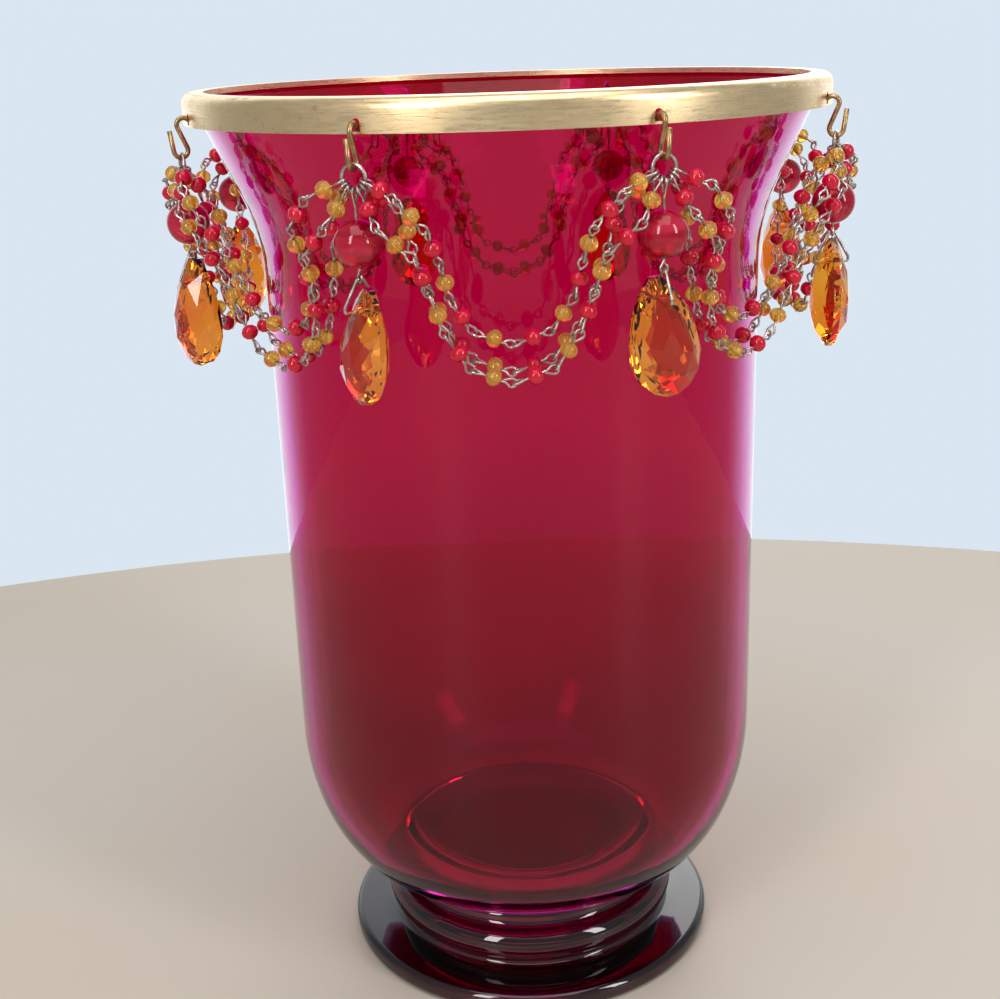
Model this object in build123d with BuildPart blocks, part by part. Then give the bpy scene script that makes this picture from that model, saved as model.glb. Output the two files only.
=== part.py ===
from build123d import *
import os
from math import asin, atan2, cos, degrees, radians, sin, sqrt

import numpy as np

# Footed ruby glass vase with a brass rim band, dressed like a mantel lustre:
# eight S-hooks in the band carry jump rings, from each ring hangs a ball and a
# faceted drop, and between neighbouring rings hang swags of three beaded strands.
# Millimetres, +Z up, origin at the centre of the foot's underside, front towards -Y.

# Driving dimensions of the glass
vase_height = 254.0
body_radius = 67.3
belly_height = 72.0
belly_bottom = 26.3
body_wall = 3.2
floor_thickness = 5.0
neck_radius = 38.8
neck_fillet = 2.1
joint_height = 22.0
flare_start = 206.5
flare_bend_radius = 48.0
flare_angle = 23.5
lip_wall = 2.0
lip_rounding = 0.8

# Driving dimensions of the foot
foot_radius = 55.5
foot_edge_height = 5.0
foot_top_height = 6.4
foot_top_fillet = 2.3
foot_bottom_fillet = 1.5
knop_radius = 44.5
knop_height = 12.6
knop_half_width = 4.3
knop_half_height = 4.9

# Driving dimensions of the rim band
rim_radius = 85.0
band_height = 7.7
band_sheet = 0.7
crest_width = 5.6
crest_outer_bend = 2.6
crest_inner_bend = 1.3
inner_leg = 1.5
lip_gap = 0.2
slot_width = 1.9
slot_height = 2.8
slot_bridge = 0.5

# Driving dimensions of the hooks and jump rings
stations = 8
hook_wire = 1.2
hook_entry_angle = 38.0
hook_tail = 1.3
hook_reach = 1.1
hook_top_bend = 1.7
hook_top_turn = 150.3
hook_shank = 5.1
hook_low_bend = 1.75
hook_low_turn = 195.0
hook_leg = 5.0
ring_radius = 2.88
ring_wire = 0.85
seat_gap = 0.04

# Driving dimensions of the beaded strands
beads_per_strand = 12
rest_steps = 2000
bead_diameter = 4.3
bead_length = 3.7
link_wire = 0.6
bead_bore_gap = 0.1
link_slack = 0.28
ring_slack = 0.32
eye_nose = 1.08
ring_eye_nose = 1.45
neck_bend = 0.5
neck_room = 0.4
eye_gap = 0.06
strand_pitch = [9.35, 9.65, 10.1]
strand_seat_angle = [75.0, 53.0, 31.0]
strand_lead_angle = [66.0, 46.5, 31.0]
strand_tilt = [17.0, -31.0, 19.0]
strand_gap = 0.25
sharpest_bend = 38.0

# Driving dimensions of the pendants
ball_diameter = 10.8
ball_bore_gap = 0.1
ball_hang = 14.15
top_eye_length = 4.2
low_eye_drop = 2.6
low_eye_nose = 0.85
bail_wire = 0.7
bail_height = 7.2
bail_half_width = 4.25
bail_top_width = 1.5
bail_shoulder = 1.2
bail_bend = 0.55
drop_length = 27.6
drop_width = 16.8
drop_thickness = 9.2
drop_girdle = 1.6
drop_bore = 1.3
drop_bore_depth = 6.4

# Turn of each drop about the vertical and sideways place of its bore
drop_turn = [-32.0, -4.0, 24.0, 10.0, -14.0, 8.0, -20.0, 30.0]
drop_bore_offset = [-2.3, 1.4, 0.5, -0.4, 0.6, -0.5, 0.4, -0.6]

os.makedirs("parts", exist_ok=True)


def station_angle(index):
    """Polar angle of a hook, counted from the front-left one to the right."""
    return -90 + (index - 0.5) * 360 / stations


def station_plane(index, radius, height):
    """Plane at a station with X along the rim and Z away from the vase."""
    a = radians(station_angle(index))
    return Plane(
        origin=(radius * cos(a), radius * sin(a), height),
        x_dir=(-sin(a), cos(a), 0),
        z_dir=(cos(a), sin(a), 0),
    )


def save(name, part):
    """Label a finished piece and write it."""
    part.label = name
    export_step(part, f"parts/{name}.step")


# Glass bowl: a blown cylinder with a round bottom and a flared mouth
flare_end_radius = body_radius + flare_bend_radius * (1 - cos(radians(flare_angle)))
flare_end_height = flare_start + flare_bend_radius * sin(radians(flare_angle))
lip_height = vase_height - band_sheet - lip_gap
flare_slope = sin(radians(flare_angle)) / cos(radians(flare_angle))
lip_radius = flare_end_radius + (lip_height - flare_end_height) * flare_slope
lip_inner = lip_radius - lip_wall / cos(radians(flare_angle))
flare_centre = body_radius + flare_bend_radius
inner_bend = flare_bend_radius + body_wall
belly_centre = neck_radius + neck_fillet

with BuildPart() as glass_bowl:
    with BuildSketch(Plane.XZ):
        with BuildLine():
            Polyline(
                (0, belly_bottom + floor_thickness),
                (0, joint_height),
                (neck_radius, joint_height),
                (neck_radius, belly_bottom - neck_fillet),
            )
            CenterArc((belly_centre, belly_bottom - neck_fillet), neck_fillet, 90, 90)
            EllipticalCenterArc(
                (belly_centre, belly_height),
                body_radius - belly_centre,
                belly_height - belly_bottom,
                270,
                arc_size=90,
            )
            Line((body_radius, belly_height), (body_radius, flare_start))
            CenterArc(
                (flare_centre, flare_start), flare_bend_radius, 180, -flare_angle
            )
            Polyline(
                (flare_end_radius, flare_end_height),
                (lip_radius, lip_height),
                (lip_inner, lip_height),
                (
                    flare_centre - inner_bend * cos(radians(flare_angle)),
                    flare_start + inner_bend * sin(radians(flare_angle)),
                ),
            )
            CenterArc(
                (flare_centre, flare_start),
                inner_bend,
                180 - flare_angle,
                flare_angle,
            )
            Line(
                (body_radius - body_wall, flare_start),
                (body_radius - body_wall, belly_height),
            )
            EllipticalCenterArc(
                (belly_centre, belly_height),
                body_radius - body_wall - belly_centre,
                belly_height - belly_bottom - floor_thickness,
                270,
                arc_size=90,
            )
            Line(
                (belly_centre, belly_bottom + floor_thickness),
                (0, belly_bottom + floor_thickness),
            )
        make_face()
    revolve(axis=Axis.Z)
    lip_edges = glass_bowl.edges().group_by(Axis.Z)[-1]
    fillet(lip_edges, lip_rounding)
save("glass_bowl", glass_bowl.part)

# Glass foot: a round disc, a bulging knop and the neck that meets the bowl
with BuildPart() as glass_foot:
    with BuildSketch(Plane.XZ):
        with BuildLine():
            Polyline(
                (0, 0),
                (foot_radius, 0),
                (foot_radius, foot_edge_height),
                (neck_radius, foot_top_height),
                (0, foot_top_height),
                close=True,
            )
        disc = make_face()
        low_corner = disc.vertices().group_by(Axis.Y)[0].sort_by(Axis.X)[-1]
        fillet(low_corner, foot_bottom_fillet)
        top_corner = disc.vertices().sort_by(Axis.X)[-1]
        with Locations((neck_radius / 2, joint_height / 2)):
            Rectangle(neck_radius, joint_height)
        with Locations((knop_radius - knop_half_width, knop_height)):
            Ellipse(knop_half_width, knop_half_height)
    revolve(axis=Axis.Z)
    top_edges = glass_foot.edges().filter_by(GeomType.CIRCLE).filter_by(
        lambda e: abs(e.center().Z - foot_edge_height) < 0.01
    )
    fillet(top_edges, foot_top_fillet)
save("glass_foot", glass_foot.part)

# Rim band: a spun brass channel over the lip, with eight arched slots in its skirt
skirt_bottom = vase_height - band_height
band_inner_radius = rim_radius - crest_width
with BuildPart() as rim_band:
    with BuildSketch(Plane.XZ):
        with Locations(((rim_radius + band_inner_radius) / 2, vase_height)):
            outside = Rectangle(
                crest_width, band_height, align=(Align.CENTER, Align.MAX)
            )
        outer_corner = outside.vertices().group_by(Axis.Y)[-1].sort_by(Axis.X)
        fillet(outer_corner[-1], crest_outer_bend)
        fillet(outer_corner[0], crest_inner_bend)
        with BuildSketch(Plane.XY, mode=Mode.SUBTRACT):
            with Locations(
                ((rim_radius + band_inner_radius) / 2, vase_height - band_sheet)
            ):
                hollow = Rectangle(
                    crest_width - 2 * band_sheet,
                    band_height,
                    align=(Align.CENTER, Align.MAX),
                )
            inner_corner = hollow.vertices().group_by(Axis.Y)[-1].sort_by(Axis.X)
            fillet(inner_corner[-1], crest_outer_bend - band_sheet)
            fillet(inner_corner[0], crest_inner_bend - band_sheet)
        with Locations((band_inner_radius, skirt_bottom)):
            Rectangle(
                2 * band_sheet + 0.2,
                band_height - inner_leg,
                align=(Align.CENTER, Align.MIN),
                mode=Mode.SUBTRACT,
            )
    revolve(axis=Axis.Z)
    slot_bottom = skirt_bottom + slot_bridge
    slot_arch = slot_bottom + slot_height - slot_width / 2
    for k in range(stations):
        with BuildSketch(station_plane(k, rim_radius + 1, slot_arch)):
            Circle(slot_width / 2)
            Rectangle(
                slot_width,
                slot_height - slot_width / 2,
                align=(Align.CENTER, Align.MAX),
            )
        extrude(amount=-(band_sheet + 2), mode=Mode.SUBTRACT)
save("rim_band", rim_band.part)

# S-hook, drawn in the plane of the vase's axis: its tail passes in through a slot
# and sits on the bridge under it, its lower bend carries the jump ring
skirt_inside = rim_radius - band_sheet
entry = radians(hook_entry_angle)
sill = (skirt_inside, slot_bottom + hook_wire / 2 / cos(entry) + seat_gap)
tail_end = (sill[0] - hook_tail * cos(entry), sill[1] - hook_tail * sin(entry))
bend_start = (sill[0] + hook_reach * cos(entry), sill[1] + hook_reach * sin(entry))
with BuildPart() as s_hook:
    with BuildLine(Plane.XZ) as hook_path:
        tail = Line(tail_end, bend_start)
        JernArc(
            start=bend_start,
            tangent=(cos(entry), sin(entry)),
            radius=hook_top_bend,
            arc_size=-hook_top_turn,
        )
        shank_angle = hook_entry_angle - hook_top_turn
        centre_angle = radians(hook_entry_angle - 90)
        top_centre = (
            bend_start[0] + hook_top_bend * cos(centre_angle),
            bend_start[1] + hook_top_bend * sin(centre_angle),
        )
        side = radians(shank_angle + 90)
        shank_start = (
            top_centre[0] + hook_top_bend * cos(side),
            top_centre[1] + hook_top_bend * sin(side),
        )
        shank_dir = (cos(radians(shank_angle)), sin(radians(shank_angle)))
        shank_end = (
            shank_start[0] + hook_shank * shank_dir[0],
            shank_start[1] + hook_shank * shank_dir[1],
        )
        Line(shank_start, shank_end)
        JernArc(
            start=shank_end,
            tangent=shank_dir,
            radius=hook_low_bend,
            arc_size=hook_low_turn,
        )
        low_centre = (
            shank_end[0] + hook_low_bend * cos(side),
            shank_end[1] + hook_low_bend * sin(side),
        )
        leg_angle = radians(shank_angle + hook_low_turn)
        leg_start = (
            low_centre[0] + hook_low_bend * sin(leg_angle),
            low_centre[1] - hook_low_bend * cos(leg_angle),
        )
        leg_end = (
            leg_start[0] + hook_leg * cos(leg_angle),
            leg_start[1] + hook_leg * sin(leg_angle),
        )
        Line(leg_start, leg_end)
    with BuildSketch(Plane(origin=tail @ 0, z_dir=tail % 0)):
        Circle(hook_wire / 2)
    sweep()

station_turns = [Location((0, 0, 0), (0, 0, station_angle(k))) for k in range(stations)]
with BuildPart() as s_hooks:
    with Locations(*station_turns):
        add(s_hook.part)
save("s_hooks", s_hooks.part)

# Jump rings, hung face to the front on the lower bends
hang_radius = low_centre[0]
bend_top = low_centre[1] - hook_low_bend + hook_wire / 2
ring_height = bend_top + ring_wire / 2 + seat_gap - ring_radius
with BuildPart() as jump_rings:
    for k in range(stations):
        with Locations(station_plane(k, hang_radius, ring_height)):
            Torus(ring_radius, ring_wire / 2)
save("jump_rings", jump_rings.part)


# Beaded strands
link_r = link_wire / 2
bead_r = bead_diameter / 2
half_step = radians(180 / stations)
chord = 2 * hang_radius * sin(half_step)
along = np.array([cos(half_step), sin(half_step), 0.0])
outward = np.array([-sin(half_step), cos(half_step), 0.0])
upward = np.array([0.0, 0.0, 1.0])
flip = np.array([-1.0, 1.0, 1.0])


def ring_seat(strand):
    """Where a strand's first eye grips the ring wire, and its first direction."""
    a = radians(strand_seat_angle[strand])
    b = radians(strand_lead_angle[strand])
    t = radians(strand_tilt[strand])
    spoke = sin(a) * along - cos(a) * upward
    wire_run = cos(a) * along + sin(a) * upward
    lead = cos(t) * (sin(b) * along - cos(b) * upward) + sin(t) * outward
    return ring_radius * spoke, lead, wire_run


def push_apart(nodes, first, second, share, radius, strands):
    """Move two strands' points away from each other where they come too near."""
    p = nodes[strands[0]][first] * (1 - share)[:, None]
    p = p + nodes[strands[0]][second] * share[:, None]
    q = nodes[strands[1]][first] * (1 - share)[:, None]
    q = q + nodes[strands[1]][second] * share[:, None]
    gap = p[:, None, :] - q[None, :, :]
    dist = np.sqrt((gap**2).sum(2))
    lack = radius[:, None] + radius[None, :] + strand_gap - dist
    i, j = np.nonzero(lack > 0)
    if len(i):
        move = gap[i, j] / dist[i, j][:, None] * (lack[i, j] * 0.25)[:, None]
        for own, index, sign in ((strands[0], i, 1), (strands[1], j, -1)):
            np.add.at(nodes[own], first[index], sign * move * (1 - share[index, None]))
            np.add.at(nodes[own], second[index], sign * move * share[index, None])


def hang_strands():
    """Let three strands of stiff links hang between two rings until they rest.

    Coordinates run from the left ring's centre: along the chord, outward, up.
    Beads and eyes of different strands stay clear of each other, of the next swag
    and, however far the swag swings, of the ball under each ring. The strands'
    common weight settles under the line between the rings. Returns the link ends
    of every strand.
    """
    count = beads_per_strand
    nodes = np.zeros((3, count + 1, 3))
    for s in range(3):
        seat, way, _ = ring_seat(s)
        nodes[s][0] = seat
        nodes[s][1] = seat + strand_pitch[s] * way
        for i in range(1, count):
            f = (i - 1) / (count - 2)
            u = nodes[s][1][0] + f * (chord - 2 * nodes[s][1][0])
            sag = 4 * f * (1 - f)
            side = nodes[s][1][1] * (1 - 0.6 * sag)
            if i > 1:
                nodes[s][i] = (u, side, nodes[s][1][2] - 37 * sag)
        for i in (count, count - 1):
            nodes[s][i] = nodes[s][count - i] * flip + (chord, 0, 0)
    first = np.repeat(np.arange(count), 4)
    second = first + 1
    share = np.tile([0.0, 0.17, 0.5, 0.83], count)
    radius = np.tile([1.15, 1.0, bead_r, 1.0], count)
    fixed = nodes[:, [0, 1, count - 1, count]].copy()
    pitch = np.array(strand_pitch)[:, None]
    side = np.array([cos(half_step), sin(half_step)])
    straightness = 2 * cos(radians(sharpest_bend / 2))
    rest_line = 0.0
    for step in range(rest_steps):
        nodes[:, 2:-2, 2] -= 0.04 * (1 - step / rest_steps)
        rest_line -= 0.01 * (nodes[:, 1:, 1] + nodes[:, :-1, 1]).mean() / 2
        nodes[:, 2:-2, 1] += 0.002 * (rest_line - nodes[:, 2:-2, 1])
        for pair in ((0, 1), (1, 2), (0, 2)):
            push_apart(nodes, first, second, share, radius, pair)
        for s in range(3):
            for mirror_end in (False, True):
                work = nodes[s] * flip + (chord, 0, 0) if mirror_end else nodes[s].copy()
                p = work[first] * (1 - share)[:, None] + work[second] * share[:, None]
                drop_line = np.hypot(p[:, 1], p[:, 2]) - ball_hang
                far = np.hypot(p[:, 0], drop_line)
                lack = ball_diameter / 2 + radius + 0.35 - far
                near = p[:, 0] < chord / 2
                move = np.zeros_like(p)
                hit = (lack > 0) & near
                move[hit, 0] = lack[hit] * 0.5
                wall = radius + 0.2 - p[:, :2] @ side
                hit = (wall > 0) & near & (p[:, 2] < -4)
                move[hit, :2] += side * wall[hit, None] * 0.5
                np.add.at(work, first, move * (1 - share)[:, None])
                np.add.at(work, second, move * share[:, None])
                nodes[s] = (work - (chord, 0, 0)) * flip if mirror_end else work
        for _ in range(3):
            nodes[:, [0, 1, count - 1, count]] = fixed
            for i in range(1, count - 1):
                run = nodes[:, i + 1] - nodes[:, i]
                size = np.sqrt((run**2).sum(1))[:, None]
                move = run / size * (size - pitch) * 0.5
                nodes[:, i] += move
                nodes[:, i + 1] -= move
            span = nodes[:, 2:] - nodes[:, :-2]
            size = np.sqrt((span**2).sum(2))[:, :, None]
            lack = np.maximum(0, straightness * pitch[:, :, None] - size)
            nodes[:, 2:] += span / size * lack * 0.25
            nodes[:, :-2] -= span / size * lack * 0.25
    nodes[:, [0, 1, count - 1, count]] = fixed
    return nodes


def unit(v):
    return v / sqrt(float(v @ v))


def eye_lines(nose, heel):
    """Points and angles of a teardrop eye, nose wire at the origin, heel on +X."""
    half = degrees(asin(nose / (heel - nose)))
    c, d = cos(radians(half)), sin(radians(half))
    short = (link_wire + eye_gap) / sin(radians(2 * half))
    turn_in = neck_bend * sin(radians(half / 2)) / cos(radians(half / 2))
    tail = (heel - short * c, short * d)
    high, low = (nose + nose * d, nose * c), (nose + nose * d, -nose * c)
    neck = (heel - turn_in * c, -turn_in * d)
    return half, tail, high, low, neck, (heel + turn_in, -neck_bend)


def eyed_wire(total, near, far, twist):
    """Wire along +X bent to an eye at each end, outermost wire at 0 and total.

    near and far give each eye's nose radius and its length to the heel.
    """
    far_side = Plane(
        origin=(total, 0, 0),
        x_dir=(-1, 0, 0),
        z_dir=(0, sin(radians(twist)), cos(radians(twist))),
    )
    half, tail, high, low, neck, pivot = eye_lines(*near)
    far_half, far_tail, far_high, far_low, far_neck, far_pivot = eye_lines(*far)
    with BuildLine() as near_end:
        start = Line(tail, high)
        eye = CenterArc((near[0], 0), near[0], 90 - half, 180 + 2 * half)
        leg = Line(low, neck)
        bend = CenterArc(pivot, neck_bend, 90 + half, -half)
        stem = Line((pivot[0], 0), (total - far_pivot[0], 0))
    with BuildLine(far_side) as far_end:
        far_bend = CenterArc(far_pivot, neck_bend, 90, far_half)
        far_leg = Line(far_neck, far_low)
        far_eye = CenterArc((far[0], 0), far[0], 270 + far_half, -180 - 2 * far_half)
        end = Line(far_high, far_tail)
    lines = (start, eye, leg, bend, stem, far_bend, far_leg, far_eye, end)
    with BuildPart() as wire:
        with BuildSketch(Plane(origin=start @ 0, z_dir=start % 0)):
            Circle(link_r)
        sweep(path=Wire([line.edge() for line in lines]))
    return wire.part


def beaded_link(pitch, near_nose, near_reach, far_nose, far_reach, twist):
    """Eyed wire whose grip points lie at 0 and pitch, with room for a bead between."""
    room = (pitch - bead_length) / 2 - neck_room
    near, far = (near_nose, near_reach + room), (far_nose, far_reach + room)
    with BuildPart() as link:
        with Locations((-near_reach, 0, 0)):
            add(eyed_wire(near_reach + pitch + far_reach, near, far, twist))
    return link.part


joint_reach = link_r + link_slack / 2
ring_reach = ring_wire / 2 + link_r + ring_slack
strand_nodes = hang_strands()
swag_origin = Vector(
    hang_radius * cos(radians(station_angle(0))),
    hang_radius * sin(radians(station_angle(0))),
    ring_height,
)


def to_vase(p):
    """From the swag's own coordinates to the vase's, for the front swag."""
    return Vector(p[0], -p[1], p[2]) + swag_origin


def to_vase_dir(d):
    return Vector(d[0], -d[1], d[2])


with BuildPart() as bead:
    with BuildSketch(Plane.XZ):
        Ellipse(bead_r, bead_length / 2)
        with Locations((link_r + bead_bore_gap, 0)):
            Rectangle(
                2 * bead_diameter,
                2 * bead_diameter,
                align=(Align.MAX, Align.CENTER),
                mode=Mode.SUBTRACT,
            )
    revolve(axis=Axis.Z)

link_places = []
bead_places = [[], []]
for s in range(3):
    seat, way, wire_run = ring_seat(s)
    pitch = strand_pitch[s]
    plain = beaded_link(pitch, eye_nose, joint_reach, eye_nose, joint_reach, 90)
    start = beaded_link(pitch, ring_eye_nose, ring_reach, eye_nose, joint_reach, 90)
    turn = wire_run
    for i in range(beads_per_strand):
        a, b = strand_nodes[s][i], strand_nodes[s][i + 1]
        run = unit(b - a)
        if i == 0:
            turn = unit(turn - (turn @ run) * run)
        else:
            turn = np.cross(unit(turn - (turn @ run) * run), run)
        shape = start if i == 0 else plain
        if i == beads_per_strand - 1:
            grip = unit(wire_run * flip - ((wire_run * flip) @ run) * run)
            side_way = np.cross(run, turn)
            twist = 180 + degrees(atan2(float(grip @ side_way), float(grip @ turn)))
            shape = beaded_link(
                pitch, eye_nose, joint_reach, ring_eye_nose, ring_reach, twist
            )
        place = Plane(
            origin=to_vase(a), x_dir=to_vase_dir(run), z_dir=to_vase_dir(turn)
        )
        link_places.append((shape, place))
        bead_places[i % 2].append(
            Plane(
                origin=to_vase((a + b) / 2),
                x_dir=to_vase_dir(turn),
                z_dir=to_vase_dir(run),
            )
        )
        turn = np.cross(run, turn)

with BuildPart() as front_links:
    add([place.location * shape for shape, place in link_places])
with BuildPart() as front_red_beads:
    with Locations(*[plane.location for plane in bead_places[0]]):
        add(bead.part)
with BuildPart() as front_amber_beads:
    with Locations(*[plane.location for plane in bead_places[1]]):
        add(bead.part)

for k in range(stations):
    turn_to = Location((0, 0, 0), (0, 0, k * 360 / stations))
    for name, source in (
        ("links", front_links),
        ("red_beads", front_red_beads),
        ("amber_beads", front_amber_beads),
    ):
        with BuildPart() as swag_piece:
            with Locations(turn_to):
                add(source.part)
        save(f"swag_{k + 1}_{name}", swag_piece.part)

# Pendants: a ball on an eye pin, a wire bail and a faceted drop
ball_height = ring_height - ball_hang
ball_r = ball_diameter / 2
grip_height = ring_height - ring_radius + ring_wire / 2 + link_r + seat_gap
low_eye_tip = ball_height - ball_r - low_eye_drop - neck_room
bail_top = low_eye_tip + link_r + bail_wire / 2 + seat_gap
bail_base = bail_top - bail_height
bore_height = bail_base - (drop_bore - bail_wire) / 2 + seat_gap
outline = [
    (0.0, 0.13),
    (0.11, 0.45),
    (0.29, 0.78),
    (0.49, 0.95),
    (0.68, 1.0),
    (0.84, 0.84),
    (0.95, 0.52),
    (1.0, 0.17),
]


def facet_ring(scale, height, bore_side):
    """Closed ring of points on the drop's outline, drawn in towards its middle."""
    middle = 0.6 * drop_length
    right = [(w * drop_width / 2, f * drop_length) for f, w in outline]
    loop = right + [(-x, y) for x, y in reversed(right)]
    return [
        Vector(x * scale - bore_side, drop_bore_depth - middle - (y - middle) * scale, height)
        for x, y in loop
    ]


def facets(outer, inner):
    """Triangles between a ring and the ring of half as many points inside it."""
    faces = []
    n = len(inner)
    for i in range(n):
        a, b, c = outer[2 * i - 1], outer[2 * i], outer[(2 * i + 1) % len(outer)]
        p, q = inner[i], inner[(i + 1) % n]
        faces += [(a, b, p), (b, c, p), (c, q, p)]
    return faces


def crystal(bore_side):
    """Faceted pear in the XY plane with its bore along Z through the origin."""
    h = drop_thickness / 2
    g = drop_girdle / 2
    faces = []
    for s in (1, -1):
        girdle = facet_ring(1.0, s * g, bore_side)
        middle = facet_ring(0.62, s * (g + 0.72 * (h - g)), bore_side)[::2]
        table = facet_ring(0.3, s * h, bore_side)[::4]
        faces += facets(girdle, middle) + facets(middle, table) + [tuple(table)]
    top, low = facet_ring(1.0, g, bore_side), facet_ring(1.0, -g, bore_side)
    for i in range(len(top)):
        j = (i + 1) % len(top)
        faces.append((top[i], top[j], low[j], low[i]))
    skin = Shell([Face(Wire.make_polygon(f, close=True)) for f in faces])
    with BuildPart() as body:
        add(Solid(skin))
        Cylinder(drop_bore / 2, 2 * drop_thickness, mode=Mode.SUBTRACT)
    return body.part


with BuildPart() as bail:
    with BuildLine(Plane.YZ) as bail_path:
        FilletPolyline(
            (bail_top_width / 2, bail_height),
            (bail_half_width, bail_shoulder),
            (bail_half_width, 0),
            (-bail_half_width, 0),
            (-bail_half_width, bail_shoulder),
            (-bail_top_width / 2, bail_height),
            radius=bail_bend,
            close=True,
        )
    with BuildSketch(Plane(origin=bail_path.line @ 0, z_dir=bail_path.line % 0)):
        Circle(bail_wire / 2)
    sweep(path=bail_path.line)

with BuildPart() as ball:
    Sphere(ball_r)
    Cylinder(link_r + ball_bore_gap, 2 * ball_r, mode=Mode.SUBTRACT)

for k in range(stations):
    here = station_plane(k, hang_radius, 0)
    front = station_angle(k) + drop_turn[k]
    with BuildPart() as pendant_ball:
        with Locations(Location((here.origin.X, here.origin.Y, ball_height))):
            add(ball.part)
    save(f"pendant_{k + 1}_ball", pendant_ball.part)
    with BuildPart() as pendant_wire:
        axis_foot = Vector(here.origin.X, here.origin.Y, 0)
        with Locations(
            Plane(
                origin=axis_foot + (0, 0, grip_height),
                x_dir=(0, 0, -1),
                z_dir=here.x_dir,
            ).location
        ):
            add(
                eyed_wire(
                    grip_height - low_eye_tip,
                    (eye_nose, top_eye_length),
                    (low_eye_nose, low_eye_drop),
                    90 + drop_turn[k],
                )
            )
        with Locations(
            Location(axis_foot + (0, 0, bail_base), (0, 0, front - 90))
        ):
            add(bail.part)
    save(f"pendant_{k + 1}_wire", pendant_wire.part)
    shape = crystal(drop_bore_offset[k])
    weight = shape.center(CenterOf.MASS)
    lean = degrees(atan2(weight.X, -weight.Y))
    face_plane = Plane(
        origin=axis_foot + (0, 0, bore_height),
        x_dir=(-sin(radians(front)), cos(radians(front)), 0),
        z_dir=(cos(radians(front)), sin(radians(front)), 0),
    )
    with BuildPart() as drop:
        with Locations(face_plane.location * Location((0, 0, 0), (0, 0, -lean))):
            add(shape)
    save(f"drop_{k + 1}", drop.part)
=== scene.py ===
from math import asin, cos, pi, radians, sin, tan

import bmesh
import bpy
import numpy as np
from mathutils import Matrix, Vector


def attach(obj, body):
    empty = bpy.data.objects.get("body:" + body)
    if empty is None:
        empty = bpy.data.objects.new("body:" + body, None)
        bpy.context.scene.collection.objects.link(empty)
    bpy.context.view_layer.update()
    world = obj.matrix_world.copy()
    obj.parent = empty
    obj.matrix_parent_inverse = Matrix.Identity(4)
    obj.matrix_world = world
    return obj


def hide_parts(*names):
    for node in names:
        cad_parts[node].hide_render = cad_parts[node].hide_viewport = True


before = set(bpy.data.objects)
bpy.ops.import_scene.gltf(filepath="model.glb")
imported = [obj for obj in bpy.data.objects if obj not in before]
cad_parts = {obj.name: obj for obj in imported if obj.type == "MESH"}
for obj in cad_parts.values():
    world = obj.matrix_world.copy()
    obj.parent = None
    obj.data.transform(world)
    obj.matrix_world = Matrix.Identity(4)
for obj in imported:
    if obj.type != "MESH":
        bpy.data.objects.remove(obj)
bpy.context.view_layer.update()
MM = 0.001

# The photograph's view: the vase from the front and a little above, taken from close
# by, so that the rim shows as a shallow oval and the sides draw in towards the foot.
camera_place = Vector((0.0, -391.0, 266.44)) * MM
pitch, yaw, roll = radians(18.40), radians(-0.797), radians(-1.986)
focal_share, sensor_width = 1.4091, 36.0
ahead = Vector((sin(yaw) * cos(pitch), cos(yaw) * cos(pitch), -sin(pitch)))
level_right = Vector((cos(yaw), -sin(yaw), 0.0))
level_up = level_right.cross(ahead)
right = level_right * cos(roll) + level_up * sin(roll)
up = level_up * cos(roll) - level_right * sin(roll)
camera_data = bpy.data.cameras.new("camera")
camera_data.sensor_width = sensor_width
camera_data.lens = focal_share * sensor_width
camera_data.clip_start = 0.01
camera = bpy.data.objects.new("camera", camera_data)
camera.matrix_world = Matrix(
    (
        (right.x, up.x, -ahead.x, camera_place.x),
        (right.y, up.y, -ahead.y, camera_place.y),
        (right.z, up.z, -ahead.z, camera_place.z),
        (0, 0, 0, 1),
    )
)
bpy.context.scene.collection.objects.link(camera)
bpy.context.scene.camera = camera


# The bowl of the vase: ruby glass blown into a cylinder, its mouth spread to a flare
# and its bottom rounded in over the neck. The wall is clear, deep crimson where light
# comes through twice, and darker low down: a painted shade for the dim table seen
# through it. Towards its outline the colour turns pale lilac, a painted reflection.
class Wire:
    """A shader socket that adds nodes when it is used in an expression."""

    def __init__(self, finish, socket):
        self.finish = finish
        self.socket = socket

    def _math(self, operation, a, b):
        return self.finish.node("Math", {"operation": operation}, {0: a, 1: b})

    def __add__(self, other):
        return self._math("ADD", self, other)

    def __radd__(self, other):
        return self._math("ADD", other, self)

    def __mul__(self, other):
        return self._math("MULTIPLY", self, other)

    def __rmul__(self, other):
        return self._math("MULTIPLY", other, self)


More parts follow.
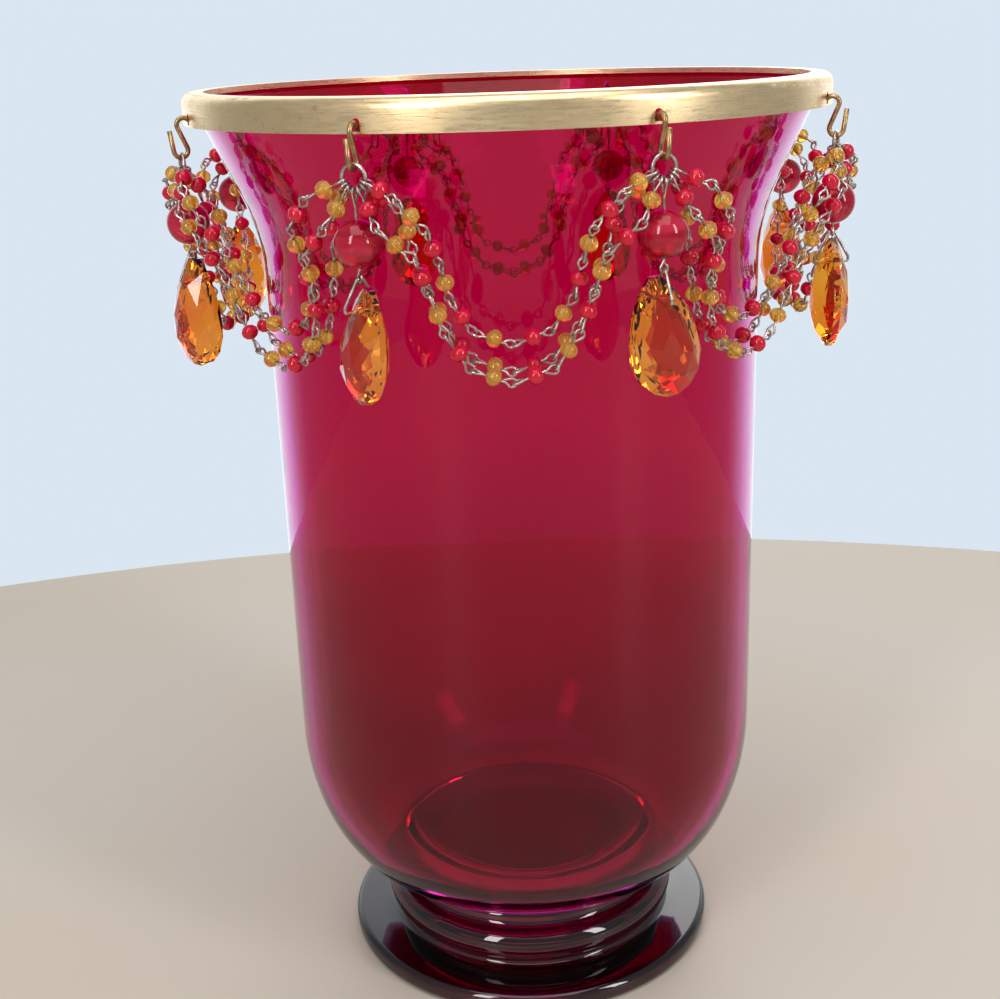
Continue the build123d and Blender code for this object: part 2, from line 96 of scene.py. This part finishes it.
class Finish:
    """A node material: its surface shader is a Principled BSDF."""

    def __init__(self, name, **constants):
        self.material = bpy.data.materials.new(name)
        self.material.use_nodes = True
        self.tree = self.material.node_tree
        self.shader = self.tree.nodes["Principled BSDF"]
        for socket, value in constants.items():
            self.shader.inputs[socket.replace("_", " ")].default_value = value

    def node(self, kind, settings, inputs, output=0):
        """A new node of a kind, its settings made first, and the socket it gives."""
        made = self.tree.nodes.new("ShaderNode" + kind)
        for key, value in settings.items():
            if key == "stops":
                ramp = made.color_ramp
                while len(ramp.elements) < len(value):
                    ramp.elements.new(0.5)
                for element, (place, colour) in zip(ramp.elements, value):
                    element.position = place
                    element.color = (*colour, 1.0)
            else:
                setattr(made, key, value)
        for key, value in inputs.items():
            self.feed(made.inputs[key], value)
        return Wire(self, made.outputs[output])

    def feed(self, socket, value):
        if isinstance(value, Wire):
            self.tree.links.new(value.socket, socket)
        else:
            socket.default_value = value

    def place(self, axis=None):
        """Object coordinates in metres, or one of them."""
        whole = self.node("TexCoord", {}, {}, "Object")
        if axis is None:
            return whole
        return self.node("SeparateXYZ", {}, {0: whole}, axis)

    def noise(self, scale, detail=2.0, where=None, rough=0.5):
        return self.node(
            "TexNoise",
            {},
            {
                "Vector": where or self.place(),
                "Scale": scale,
                "Detail": detail,
                "Roughness": rough,
            },
            "Fac",
        )

    def ramp(self, value, *stops):
        return self.node("ValToRGB", {"stops": stops}, {0: value})

    def span(self, value, low, high, start=0.0, end=1.0):
        """value running from low to high, mapped to start to end and held there."""
        inputs = {1: low, 2: high, 3: start, 4: end, 0: value}
        return self.node("MapRange", {}, inputs)

    def blend(self, share, first, second):
        """One colour turning into another as share goes from 0 to 1."""
        colours = [c if isinstance(c, Wire) else (*c, 1.0) for c in (first, second)]
        inputs = {0: share, 6: colours[0], 7: colours[1]}
        return self.node("Mix", {"data_type": "RGBA"}, inputs, 2)

    def bump(self, height, strength, distance):
        return self.node(
            "Bump",
            {},
            {"Height": height, "Strength": strength, "Distance": distance},
        )

    def set(self, **sockets):
        for name, value in sockets.items():
            self.feed(self.shader.inputs[name.replace("_", " ")], value)


def turned(name, outline, steps=192):
    """A piece turned about the vase's axis from its outline, (radius, height) in mm."""
    mesh = bpy.data.meshes.new(name)
    shape = bmesh.new()
    points = [shape.verts.new((r * MM, 0.0, z * MM)) for r, z in outline]
    edges = [shape.edges.new(pair) for pair in zip(points, points[1:])]
    bmesh.ops.spin(
        shape,
        geom=points + edges,
        axis=(0, 0, 1),
        cent=(0, 0, 0),
        angle=2 * pi,
        steps=steps,
        use_merge=True,
    )
    bmesh.ops.remove_doubles(shape, verts=shape.verts[:], dist=1e-6)
    bmesh.ops.recalc_face_normals(shape, faces=shape.faces[:])
    for face in shape.faces:
        face.smooth = True
    shape.to_mesh(mesh)
    shape.free()
    piece = bpy.data.objects.new(name, mesh)
    bpy.context.scene.collection.objects.link(piece)
    return piece


def arc(centre, radii, start, end, count):
    """Points (radius, height) on an oval arc, angles in degrees from outward."""
    steps = [radians(start + (end - start) * i / count) for i in range(count + 1)]
    return [(centre[0] + radii[0] * cos(a), centre[1] + radii[1] * sin(a)) for a in steps]


neck_radius, neck_fillet, joint_height = 38.8, 2.1, 22.0
body_radius, wall, floor_thickness = 67.3, 3.2, 5.0
belly_centre, belly_reach, belly_bottom = (40.9, 72.0), 26.4, 26.3
floor_radius = 20.0
straight_heights = range(95, 206, 10)
flare_start, flare_bend, flare_angle = 206.5, 48.0, 23.5
skirt_foot = (79.0, 243.35)
lip_height, lip_wall = 253.1, 2.0
lip_edge, lip_inset = 0.95, 1.2
lip_inner_edge, lip_inner_inset = 0.6, 0.75
belly_drop = belly_centre[1] - belly_bottom
floor_height = belly_bottom + floor_thickness
flare_centre = (body_radius + flare_bend, flare_start)
flare_end = arc(flare_centre, (flare_bend, flare_bend), 180, 180 - flare_angle, 14)
lip_rise = lip_height - flare_end[-1][1]
lip_outer = flare_end[-1][0] + lip_rise * tan(radians(flare_angle))
lip_inner = lip_outer - lip_wall / cos(radians(flare_angle))
inner_bend = flare_bend + wall
neck_fillet_centre = (belly_centre[0], belly_bottom - neck_fillet)
lip_centre = (lip_outer - lip_inset, lip_height - lip_edge)
lip_inner_centre = (lip_inner + lip_inner_inset, lip_height - lip_inner_edge)
bowl_outline = [(0, joint_height), (neck_radius * 0.5, joint_height)]
bowl_outline += [(neck_radius, joint_height)]
bowl_outline += arc(neck_fillet_centre, (neck_fillet, neck_fillet), 180, 90, 6)
bowl_outline += arc(belly_centre, (belly_reach, belly_drop), 270, 360, 36)[1:]
bowl_outline += [(body_radius, z) for z in straight_heights]
bowl_outline += flare_end
bowl_outline += [skirt_foot]
bowl_outline += arc(lip_centre, (lip_edge, lip_edge), -15, 90, 6)
bowl_outline += arc(lip_inner_centre, (lip_inner_edge, lip_inner_edge), 90, 170, 4)
bowl_outline += arc(flare_centre, (inner_bend, inner_bend), 180 - flare_angle, 180, 14)
bowl_outline += [(body_radius - wall, z) for z in reversed(straight_heights)]
inner_radii = (belly_reach - wall, belly_drop - floor_thickness)
bowl_outline += arc(belly_centre, inner_radii, 360, 270, 36)
bowl_outline += [(floor_radius, floor_height), (0, floor_height)]
bowl = turned("ruby_bowl", bowl_outline)

ruby = Finish("ruby_glass", Transmission_Weight=1.0, IOR=1.34)
height = ruby.place("Z")
drift = ruby.noise(9.0, 3.0)
clear_colour = ruby.blend(drift, (0.69, 0.0003, 0.17), (0.76, 0.0006, 0.22))
# Painted shade: a darker crimson low down, standing for the dim table seen through the
# glass.
painted_shade_colour = ruby.ramp(
    height,
    (0.03, (0.50, 0.0004, 0.115)),
    (0.08, (0.49, 0.0004, 0.125)),
    (0.13, (0.44, 0.0004, 0.130)),
)
clear_above_painted_shade = ruby.span(height + 0.02 * drift, 0.10, 0.15)
# Painted reflection: where the wall is seen at a glance, near its outline, the colour
# turns pale lilac as if it mirrored the bright room.
painted_reflection_glance = ruby.node("LayerWeight", {}, {"Blend": 0.5}, "Facing")
waves = ruby.noise(26.0, 2.0) + 0.35 * ruby.noise(90.0, 2.0)
wear = ruby.noise(160.0, 4.0, rough=0.7)
ruby.set(
    Base_Color=ruby.blend(
        ruby.span(painted_reflection_glance, 0.62, 0.68) * 0.88,
        ruby.blend(clear_above_painted_shade, painted_shade_colour, clear_colour),
        (0.90, 0.72, 0.90),
    ),
    Roughness=ruby.span(wear, 0.35, 0.75, 0.0, 0.035),
    Normal=ruby.bump(waves, 0.12, 0.0012),
)
bowl.data.materials.append(ruby.material)
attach(bowl, "vase")
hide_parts("glass_bowl")

# The foot: a thick pressed disc, a bulging knop and a short neck fused to the bowl.
# The same ruby glass, so thick that it is nearly black with wine-red edges.
disc_radius, disc_edge, disc_chamfer = 55.5, 2.3, 1.5
knop_centre, knop_radii = (40.2, 12.6), (4.3, 4.9)
foot_top = joint_height - 0.03
disc_low = (disc_radius - disc_chamfer, disc_chamfer)
disc_high = (disc_radius - disc_edge, 3.0)
foot_outline = [(0, 0), (30, 0), (52.0, 0)]
foot_outline += arc(disc_low, (disc_chamfer, disc_chamfer), 270, 360, 5)
foot_outline += arc(disc_high, (disc_edge, disc_edge), 0, 84, 7)
foot_outline += [(48.0, 5.7), (44.2, 6.05), (42.6, 6.6), (41.9, 7.3), (42.2, 8.1)]
foot_outline += arc(knop_centre, knop_radii, -58, 80, 22)
foot_outline += [(39.9, 17.6), (39.2, 18.3), (38.85, 19.4), (neck_radius, foot_top)]
foot_outline += [(floor_radius, foot_top), (0, foot_top)]
foot = turned("ruby_foot", foot_outline)
wine = Finish("thick_ruby_glass", Transmission_Weight=1.0, IOR=1.6)
wine_drift = wine.noise(14.0, 3.0)
wine.set(
    Base_Color=wine.blend(wine_drift, (0.030, 0.0005, 0.004), (0.060, 0.001, 0.008)),
    Roughness=wine.span(wine.noise(120.0, 4.0, rough=0.7), 0.35, 0.75, 0.0, 0.05),
    Normal=wine.bump(wine.noise(35.0, 2.0), 0.10, 0.0012),
)
foot.data.materials.append(wine.material)
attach(foot, "vase")
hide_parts("glass_foot")


# The rim band: thin brass spun into a channel that caps the glass lip, with small
# arched slots cut in its skirt. It was lacquered once and has gone brown in specks.
def smooth_copy(node, name, sharp=32.0):
    """The CAD node's shape, corners joined, smooth but at edges over sharp degrees."""
    mesh = bpy.data.meshes.new(name)
    shape = bmesh.new()
    shape.from_mesh(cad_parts[node].data)
    bmesh.ops.remove_doubles(shape, verts=shape.verts[:], dist=2e-6)
    for face in shape.faces:
        face.smooth = True
    shape.to_mesh(mesh)
    shape.free()
    mesh.set_sharp_from_angle(angle=radians(sharp))
    piece = bpy.data.objects.new(name, mesh)
    bpy.context.scene.collection.objects.link(piece)
    return piece


band = smooth_copy("rim_band", "brass_band")
brass = Finish("worn_brass", Metallic=1.0)
tarnish = brass.noise(60.0, 5.0, rough=0.7)
specks = brass.noise(520.0, 3.0, rough=0.6)
patch = brass.noise(18.0, 3.0)
along = brass.node("Mapping", {}, {0: brass.place(), 3: (1.0, 1.0, 16.0)})
scratches = brass.noise(150.0, 3.0, where=along, rough=0.6)
bright = brass.ramp(patch, (0.30, (0.96, 0.68, 0.36)), (0.70, (1.0, 0.80, 0.49)))
brown = brass.span(tarnish, 0.50, 0.68) * 0.35
shade = brass.blend(brown, bright, (0.60, 0.38, 0.18))
shade = brass.blend(brass.span(specks, 0.62, 0.74) * 0.30, shade, (0.26, 0.15, 0.07))
brass.set(
    Base_Color=shade,
    Roughness=brass.span(scratches + 0.5 * tarnish, 0.5, 1.0, 0.22, 0.40),
    Normal=brass.bump(scratches + 0.5 * specks, 0.08, 0.0003),
)
band.data.materials.append(brass.material)
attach(band, "vase")
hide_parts("rim_band")

# The eight S-hooks: gilt wire bent by hand, the tail pushed through a slot in the
# band and the lower bend left open for the jump ring. Duller than the band.
gilt = Finish("gilt_wire", Metallic=1.0)
gilt_wear = gilt.noise(300.0, 4.0, rough=0.65)
gilt.set(
    Base_Color=gilt.ramp(
        gilt_wear,
        (0.34, (0.22, 0.13, 0.055)),
        (0.52, (0.46, 0.31, 0.14)),
        (0.70, (0.66, 0.48, 0.25)),
    ),
    Roughness=gilt.span(gilt_wear, 0.3, 0.7, 0.42, 0.24),
    Normal=gilt.bump(gilt_wear, 0.15, 0.0002),
)


def dress(node, finish, name, body, sharp=32.0):
    """Stand a smooth copy of a CAD node in its place, in its own finish."""
    piece = smooth_copy(node, name, sharp)
    piece.data.materials.append(finish.material)
    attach(piece, body)
    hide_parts(node)


dress("s_hooks", gilt, "gilt_hooks", "vase", 60.0)

# The jump rings and all the eyed wires of the strands: nickel-plated iron wire,
# bright on the outside of each bend and grey where the plating has dulled.
nickel = Finish("nickel_wire", Metallic=1.0)
dulling = nickel.noise(380.0, 3.0, rough=0.6)
nickel.set(
    Base_Color=nickel.ramp(
        dulling,
        (0.32, (0.30, 0.26, 0.22)),
        (0.50, (0.52, 0.48, 0.42)),
        (0.68, (0.74, 0.70, 0.64)),
    ),
    Roughness=nickel.span(dulling, 0.3, 0.7, 0.36, 0.18),
)
dress("jump_rings", nickel, "nickel_jump_rings", "vase")

# The strands: short lengths of nickel wire, each with a bead on it and bent to a long
# eye at both ends, the eye of one hooked through the eye of the next. Three strands of
# twelve hang in each swag, and the jump rings carry their end eyes.
wire_radius, tail_gap = 0.3 * MM, 0.66 * MM
bead_half, bead_radius, bore = 1.85 * MM, 2.15 * MM, 0.4 * MM
eye_start = bead_half + 0.4 * MM
eye_reach = 1.4 * MM


def loose_points(node):
    """The points of each separate solid in a CAD node."""
    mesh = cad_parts[node].data
    places = np.empty(3 * len(mesh.vertices), np.float32)
    mesh.vertices.foreach_get("co", places)
    places = places.reshape(-1, 3)
    ends = np.empty(2 * len(mesh.edges), np.int32)
    mesh.edges.foreach_get("vertices", ends)
    joined = np.unique(np.round(places, 6), axis=0, return_inverse=True)[1].reshape(-1)
    ends = joined[ends].reshape(-1, 2)
    label = np.arange(joined.max() + 1)
    while True:
        low = label[ends].min(axis=1)
        lower = label.copy()
        np.minimum.at(lower, ends[:, 0], low)
        np.minimum.at(lower, ends[:, 1], low)
        lower = lower[lower]
        if (lower == label).all():
            break
        label = lower
    owner = label[joined]
    return [places[owner == one] for one in np.unique(owner)]


def main_ways(points):
    """The three ways in which points spread, least first, and how much."""
    spread, ways = np.linalg.eigh(np.cov((points - points.mean(axis=0)).T))
    return spread, ways.T


def long_eye(nose, length):
    """An eye's line from its tail round to its neck: along from the nose, and aside."""
    half = asin(nose / (length - nose))
    tail = tail_gap / sin(2 * half)
    line = [(length - tail * cos(half), tail * sin(half))]
    for i in range(9):
        turn = pi / 2 - half + (pi + 2 * half) * i / 8
        line.append((nose + nose * cos(turn), nose * sin(turn)))
    return line + [(length, 0.0)]


beads = {"red": [], "amber": []}
for colour, places in beads.items():
    for points in loose_points(f"swag_1_{colour}_beads"):
        spread, ways = main_ways(points)
        odd = 0 if spread[1] - spread[0] > spread[2] - spread[1] else 2
        places.append((points.mean(axis=0), ways[odd]))
wire_lines = []
for points in loose_points("swag_1_links"):
    middle, run = min(
        beads["red"] + beads["amber"],
        key=lambda bead: np.linalg.norm(bead[0] - points.mean(axis=0)),
    )
    line = []
    for way in (run, -run):
        along = (points - middle) @ way
        end = points[along > along.max() - eye_reach] - middle
        end = end - np.outer(end @ way, way)
        aside = main_ways(end)[1][2]
        nose = np.ptp(end @ aside) / 2 - wire_radius
        tip = along.max() - wire_radius
        eye = [
            middle + (tip - x) * way + y * aside
            for x, y in long_eye(nose, tip - eye_start)
        ]
        line = line[::-1] + eye
    wire_lines.append(line[::-1])


def bent_wires(name, lines, thickness):
    """Round wires bent along lines, as one mesh."""
    curve = bpy.data.curves.new(name, "CURVE")
    curve.dimensions = "3D"
    curve.bevel_depth = thickness / 2
    curve.bevel_resolution = 1
    curve.use_fill_caps = True
    for line in lines:
        spline = curve.splines.new("POLY")
        spline.points.add(len(line) - 1)
        for point, place in zip(spline.points, line):
            point.co = (*place, 1.0)
    drawn = bpy.data.objects.new(name, curve)
    mesh = bpy.data.meshes.new_from_object(drawn)
    bpy.data.objects.remove(drawn)
    mesh.shade_smooth()
    return mesh


def strung_beads(name, places, corners=6, widest=78, steps=14):
    """Small round beads, each turned about its own wire, with a bore along it."""
    mesh = bpy.data.meshes.new(name)
    shape = bmesh.new()
    for middle, run in places:
        run = Vector(run)
        aside = run.orthogonal().normalized()
        rim = []
        for i in range(corners):
            t = radians(widest * (2 * i / (corners - 1) - 1))
            out = max(bead_radius * cos(t), bore) * aside
            rim.append(shape.verts.new(Vector(middle) + out + bead_half * sin(t) * run))
        edges = [shape.edges.new(pair) for pair in zip(rim, rim[1:] + rim[:1])]
        bmesh.ops.spin(
            shape,
            geom=rim + edges,
            axis=run,
            cent=Vector(middle),
            angle=2 * pi,
            steps=steps,
            use_merge=True,
        )
    bmesh.ops.recalc_face_normals(shape, faces=shape.faces[:])
    for face in shape.faces:
        face.smooth = True
    shape.to_mesh(mesh)
    shape.free()
    mesh.set_sharp_from_angle(angle=radians(60))
    return mesh


red_glass = Finish("red_bead_glass", Transmission_Weight=0.35, IOR=1.5)
red_drift = red_glass.noise(240.0, 2.0)
red_glass.set(
    Base_Color=red_glass.blend(red_drift, (0.56, 0.001, 0.018), (0.94, 0.010, 0.062)),
    Roughness=red_glass.span(red_drift, 0.3, 0.7, 0.03, 0.12),
)
amber_glass = Finish("amber_bead_glass", Transmission_Weight=0.75, IOR=1.5)
amber_drift = amber_glass.noise(240.0, 2.0)
amber_glass.set(
    Base_Color=amber_glass.blend(amber_drift, (0.78, 0.40, 0.022), (0.99, 0.71, 0.15)),
    Roughness=amber_glass.span(amber_drift, 0.3, 0.7, 0.03, 0.12),
)
swag_meshes = {
    "links": (bent_wires("wires", wire_lines, 2 * wire_radius), nickel, "wire_nickel"),
    "red_beads": (strung_beads("reds", beads["red"]), red_glass, "red_bead"),
    "amber_beads": (strung_beads("ambers", beads["amber"]), amber_glass, "amber_bead"),
}
SWAGS = 8
for k in range(SWAGS):
    for part, (mesh, finish, slot) in swag_meshes.items():
        name = f"strung_{part}_{k + 1}"
        turned_mesh = mesh.copy()
        turned_mesh.transform(Matrix.Rotation(2 * pi * k / SWAGS, 4, "Z"))
        turned_mesh.materials.append(finish.material)
        piece = bpy.data.objects.new(name, turned_mesh)
        bpy.context.scene.collection.objects.link(piece)
        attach(piece, f"swag_{k + 1}")
        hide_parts(f"swag_{k + 1}_{part}")

# The balls: round lampwork beads of cherry glass, nearly opaque, with cloudy swirls
# of lighter red in them. Each is strung on a wire under its jump ring.
cherry = Finish("cherry_glass", Transmission_Weight=0.50, IOR=1.5)
layers = cherry.node("Mapping", {}, {0: cherry.place(), 3: (0.5, 0.5, 2.6)})
swirl = cherry.noise(110.0, 4.0, where=layers)
cherry.set(
    Base_Color=cherry.ramp(
        swirl,
        (0.34, (0.30, 0.001, 0.014)),
        (0.50, (0.56, 0.002, 0.036)),
        (0.66, (0.76, 0.024, 0.080)),
    ),
    Roughness=cherry.span(swirl, 0.3, 0.7, 0.04, 0.11),
)

# The drops: cut amber crystal pears with flat facets, hung from a wire bail through
# a bore near the top. Clear orange, redder towards one side and in the thick middle.
crystal = Finish("amber_crystal", Transmission_Weight=1.0, IOR=1.56, Roughness=0.0)
cloud = crystal.noise(38.0, 1.0)
crystal.set(
    Base_Color=crystal.ramp(
        cloud,
        (0.36, (0.88, 0.15, 0.010)),
        (0.52, (0.95, 0.30, 0.018)),
        (0.68, (0.96, 0.44, 0.05)),
    ),
)
for k in range(1, SWAGS + 1):
    body = f"pendant_{k}"
    dress(f"pendant_{k}_ball", cherry, f"ball_{k}", body, 50.0)
    dress(f"pendant_{k}_wire", nickel, f"bail_{k}", body)
    dress(f"drop_{k}", crystal, f"cut_drop_{k}", f"drop_{k}", 4.0)

# The table: a plain pale round top that the vase stands on, and a pale wall beyond.
table_radius, table_centre = 0.80, (0.0, -0.46, -0.0004)
table_mesh = bpy.data.meshes.new("table_top")
top = bmesh.new()
bmesh.ops.create_circle(top, cap_ends=True, segments=128, radius=table_radius)
bmesh.ops.translate(top, verts=top.verts[:], vec=table_centre)
top.to_mesh(table_mesh)
top.free()
table = bpy.data.objects.new("table_top", table_mesh)
bpy.context.scene.collection.objects.link(table)
pale = Finish("pale_table", Roughness=0.5)
cloudy = pale.noise(5.0, 3.0)
pale.set(Base_Color=pale.blend(cloudy, (0.54, 0.45, 0.33), (0.55, 0.53, 0.49)))
table_mesh.materials.append(pale.material)

# The room: a pale wall to the eye, and to reflections dim towards the camera's side
# and bright beyond the vase, as a room is with its windows behind the photographed
# piece. Surfaces that are not glossy get an even light.
dim_y, bright_y = 0.45, 0.80
dim_strength, bright_strength, ambient_strength = 0.40, 1.6, 0.42
world = bpy.data.worlds.new("pale_room")
bpy.context.scene.world = world
world.use_nodes = True
room = world.node_tree
backdrop = room.nodes["Background"]
backdrop.inputs["Color"].default_value = (0.70, 0.79, 0.88, 1)
mirrored = room.nodes.new("ShaderNodeBackground")
mirrored.inputs["Color"].default_value = (0.80, 0.86, 0.92, 1)
ambient = room.nodes.new("ShaderNodeBackground")
ambient.inputs["Color"].default_value = (0.93, 0.96, 1.0, 1)
ambient.inputs["Strength"].default_value = ambient_strength
facing = room.nodes.new("ShaderNodeTexCoord")
parts = room.nodes.new("ShaderNodeSeparateXYZ")
room.links.new(facing.outputs["Generated"], parts.inputs[0])
wall_light = room.nodes.new("ShaderNodeMapRange")
turns = (dim_y, bright_y, dim_strength, bright_strength)
for number, value in enumerate(turns, 1):
    wall_light.inputs[number].default_value = value
room.links.new(parts.outputs["Y"], wall_light.inputs[0])
room.links.new(wall_light.outputs[0], mirrored.inputs["Strength"])
rays = room.nodes.new("ShaderNodeLightPath")
seen = room.nodes.new("ShaderNodeMath")
seen.operation = "MAXIMUM"
room.links.new(rays.outputs["Is Camera Ray"], seen.inputs[0])
room.links.new(rays.outputs["Is Transmission Ray"], seen.inputs[1])
in_gloss = room.nodes.new("ShaderNodeMixShader")
room.links.new(rays.outputs["Is Glossy Ray"], in_gloss.inputs[0])
room.links.new(ambient.outputs[0], in_gloss.inputs[1])
room.links.new(mirrored.outputs[0], in_gloss.inputs[2])
choose = room.nodes.new("ShaderNodeMixShader")
room.links.new(seen.outputs[0], choose.inputs[0])
room.links.new(in_gloss.outputs[0], choose.inputs[1])
room.links.new(backdrop.outputs[0], choose.inputs[2])
room.links.new(choose.outputs[0], room.nodes["World Output"].inputs["Surface"])


def lamp(name, place, target, size, power):
    """A soft oblong lamp of a little warm light, aimed at target, all in metres."""
    data = bpy.data.lights.new(name, "AREA")
    data.shape = "RECTANGLE"
    data.size, data.size_y = size
    data.energy = power
    data.color = (1.0, 0.98, 0.95)
    light = bpy.data.objects.new(name, data)
    aim = Vector(target) - Vector(place)
    light.location = place
    light.rotation_mode = "QUATERNION"
    light.rotation_quaternion = aim.to_track_quat("-Z", "Y")
    bpy.context.scene.collection.objects.link(light)


lamp("window_left", (-0.62, -1.05, 0.75), (0, 0, 0.14), (0.24, 0.80), 6.5)
lamp("window_right", (0.95, -0.75, 0.70), (0, 0, 0.16), (0.22, 0.80), 6.0)
lamp("ceiling", (0.0, -0.45, 1.45), (0, -0.2, 0.1), (1.2, 1.2), 9)
lamp("behind", (0.3, 1.3, 0.9), (0, 0, 0.15), (1.0, 0.8), 5)

bpy.context.scene.view_settings.view_transform = "Standard"
